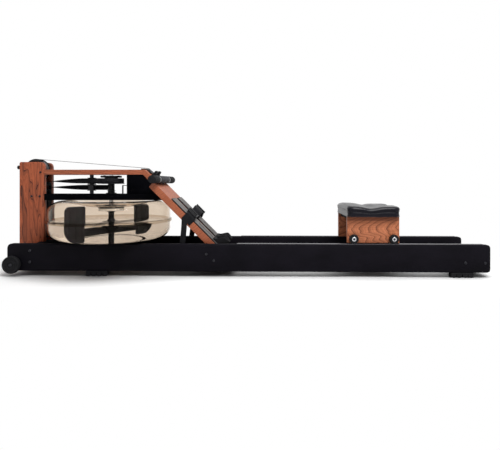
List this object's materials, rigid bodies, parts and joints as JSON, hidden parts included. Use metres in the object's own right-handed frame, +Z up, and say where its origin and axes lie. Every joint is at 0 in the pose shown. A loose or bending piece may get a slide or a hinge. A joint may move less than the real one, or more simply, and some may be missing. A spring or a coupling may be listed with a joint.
{
  "type": "water rowing machine",
  "caption": "Rowing machine with a wooden mast and sloping foot plank, black rails, a clear water tank with a paddle, a strap-driven handle and a rolling cushioned seat.",
  "frame": {"origin": "on the floor under the middle of the machine's overall box", "axes": "+X from the tank end to the tail, +Y to the rower's right, +Z up"},
  "size_m": [2.108, 0.558, 0.52],
  "materials": {
    "red_oak": "satin oiled",
    "seat_oak": "satin oiled",
    "black_wood": "black stain, open grain",
    "black_plastic": "moulded satin",
    "black_rubber": "matt",
    "webbing": "woven webbing",
    "track_metal": "brushed",
    "grey_pad": "ribbed matt",
    "grey_metal": "satin",
    "clear_tank": "clear, faint warm tint",
    "water": "clear water",
    "leather": "satin moulded cover"
  },
  "bodies": {
    "frame": {"rail_left": "black_wood", "rail_right": "black_wood", "front_bearer": "black_wood", "tail_spacer": "black_wood", "mast_core": "black_wood", "deck": "black_wood", "cleat_left": "black_wood", "cleat_right": "black_wood", "track_left": "track_metal", "track_right": "track_metal", "foot_front_left": "black_rubber", "foot_front_right": "black_rubber", "foot_rear_left": "black_rubber", "foot_rear_right": "black_rubber", "mast_board_left": "red_oak", "mast_board_right": "red_oak", "top_plank": "red_oak", "foot_plank": "red_oak", "mast_cover": "black_plastic", "web_bracket": "black_plastic", "handle_rest": "black_plastic", "strap_guide": "black_plastic", "bearing_housing": "black_plastic", "idler_post": "black_plastic", "tank_seal": "black_plastic", "sensor_bracket": "black_plastic", "foot_pad_left": "grey_pad", "foot_pad_right": "grey_pad", "foot_strap_left": "webbing", "foot_strap_right": "webbing", "drive_strap": "webbing", "recoil_strap": "webbing", "strap_run": "webbing", "tank_upper": "clear_tank", "tank_lower": "clear_tank"},
    "seat": {"seat_side_left": "seat_oak", "seat_side_right": "seat_oak", "seat_base": "black_wood", "seat_cushion": "leather"},
    "handle": {"handle_bar": "grey_metal", "grip_left": "black_rubber", "grip_right": "black_rubber", "handle_sleeve": "black_rubber"},
    "top_pulley": {"top_pulley": "black_plastic"},
    "recoil_pulley": {"recoil_pulley": "black_plastic"},
    "drum": {"strap_drum": "black_plastic", "strap_winding": "webbing"},
    "idler_upper": {"idler_upper": "black_plastic"},
    "idler_lower": {"idler_lower": "black_plastic"},
    "paddle": {"paddle": "black_plastic", "main_shaft": "grey_metal", "water": "water"},
    "transport_wheel_left": {"transport_wheel_left": "black_rubber"},
    "heel_rest_left": {"heel_rest_left": "black_plastic"},
    "seat_wheel_front_left": {"seat_wheel_front_left": "black_plastic"},
    "seat_wheel_rear_left": {"seat_wheel_rear_left": "black_plastic"},
    "transport_wheel_right": {"transport_wheel_right": "black_rubber"},
    "heel_rest_right": {"heel_rest_right": "black_plastic"},
    "seat_wheel_front_right": {"seat_wheel_front_right": "black_plastic"},
    "seat_wheel_rear_right": {"seat_wheel_rear_right": "black_plastic"}
  },
  "joints": [
    {"name": "seat_slide", "type": "slide", "parent": "frame", "child": "seat", "axis": [1, 0, 0], "range_m": [-0.45, 0.35]},
    {"name": "handle_pull", "type": "slide", "parent": "frame", "child": "handle", "axis": [0.9976, 0, 0.0698], "range_m": [0, 1.15], "stiffness_N_per_m": 15, "springref_m": -0.6, "deforming": ["strap_run"]},
    {"name": "top_pulley_turn", "type": "hinge", "parent": "frame", "child": "top_pulley", "pos_m": [-0.993, 0, 0.467], "axis": [0, 1, 0], "range_deg": [-10, 1280]},
    {"name": "recoil_pulley_turn", "type": "hinge", "parent": "frame", "child": "recoil_pulley", "pos_m": [-0.993, 0, 0.362], "axis": [0, 1, 0], "range_deg": [-10, 770]},
    {"name": "drum_turn", "type": "hinge", "parent": "frame", "child": "drum", "pos_m": [-0.641, 0, 0.41], "axis": [0, 0, 1], "range_deg": [-1110, 10]},
    {"name": "idler_upper_turn", "type": "hinge", "parent": "frame", "child": "idler_upper", "pos_m": [-0.734, 0, 0.4163], "axis": [0, 0, 1], "range_deg": [-3640, 10]},
    {"name": "idler_lower_turn", "type": "hinge", "parent": "frame", "child": "idler_lower", "pos_m": [-0.734, 0, 0.3855], "axis": [0, 0, 1], "range_deg": [-990, 10]},
    {"name": "paddle_spin", "type": "hinge", "parent": "frame", "child": "paddle", "pos_m": [-0.641, 0, 0.2], "axis": [0, 0, 1], "continuous": true},
    {"name": "seat_wheel_front_left_roll", "type": "hinge", "parent": "seat", "child": "seat_wheel_front_left", "pos_m": [0.473, -0.1398, 0.1628], "axis": [0, 1, 0], "range_deg": [-1290, 1010]},
    {"name": "seat_wheel_rear_left_roll", "type": "hinge", "parent": "seat", "child": "seat_wheel_rear_left", "pos_m": [0.646, -0.1398, 0.1628], "axis": [0, 1, 0], "range_deg": [-1290, 1010]},
    {"name": "transport_wheel_left_roll", "type": "hinge", "parent": "frame", "child": "transport_wheel_left", "pos_m": [-1.016, -0.168, 0.05], "axis": [0, 1, 0], "continuous": true},
    {"name": "heel_rest_left_slide", "type": "slide", "parent": "frame", "child": "heel_rest_left", "axis": [-0.7071, 0, 0.7071], "range_m": [0, 0.09]},
    {"name": "seat_wheel_front_right_roll", "type": "hinge", "parent": "seat", "child": "seat_wheel_front_right", "pos_m": [0.473, 0.1398, 0.1628], "axis": [0, 1, 0], "range_deg": [-1290, 1010]},
    {"name": "seat_wheel_rear_right_roll", "type": "hinge", "parent": "seat", "child": "seat_wheel_rear_right", "pos_m": [0.646, 0.1398, 0.1628], "axis": [0, 1, 0], "range_deg": [-1290, 1010]},
    {"name": "transport_wheel_right_roll", "type": "hinge", "parent": "frame", "child": "transport_wheel_right", "pos_m": [-1.016, 0.168, 0.05], "axis": [0, 1, 0], "continuous": true},
    {"name": "heel_rest_right_slide", "type": "slide", "parent": "frame", "child": "heel_rest_right", "axis": [-0.7071, 0, 0.7071], "range_m": [0, 0.09]}
  ],
  "couplings": [
    {"joint": "top_pulley_turn", "follows": "handle_pull", "rad_per_m": 19.18},
    {"joint": "recoil_pulley_turn", "follows": "handle_pull", "rad_per_m": 11.4},
    {"joint": "drum_turn", "follows": "handle_pull", "rad_per_m": -16.6},
    {"joint": "idler_upper_turn", "follows": "handle_pull", "rad_per_m": -54.9},
    {"joint": "idler_lower_turn", "follows": "handle_pull", "rad_per_m": -14.8},
    {"joint": "seat_wheel_front_left_roll", "follows": "seat_slide", "rad_per_m": 49.3},
    {"joint": "seat_wheel_rear_left_roll", "follows": "seat_slide", "rad_per_m": 49.3},
    {"joint": "seat_wheel_front_right_roll", "follows": "seat_slide", "rad_per_m": 49.3},
    {"joint": "seat_wheel_rear_right_roll", "follows": "seat_slide", "rad_per_m": 49.3}
  ]
}
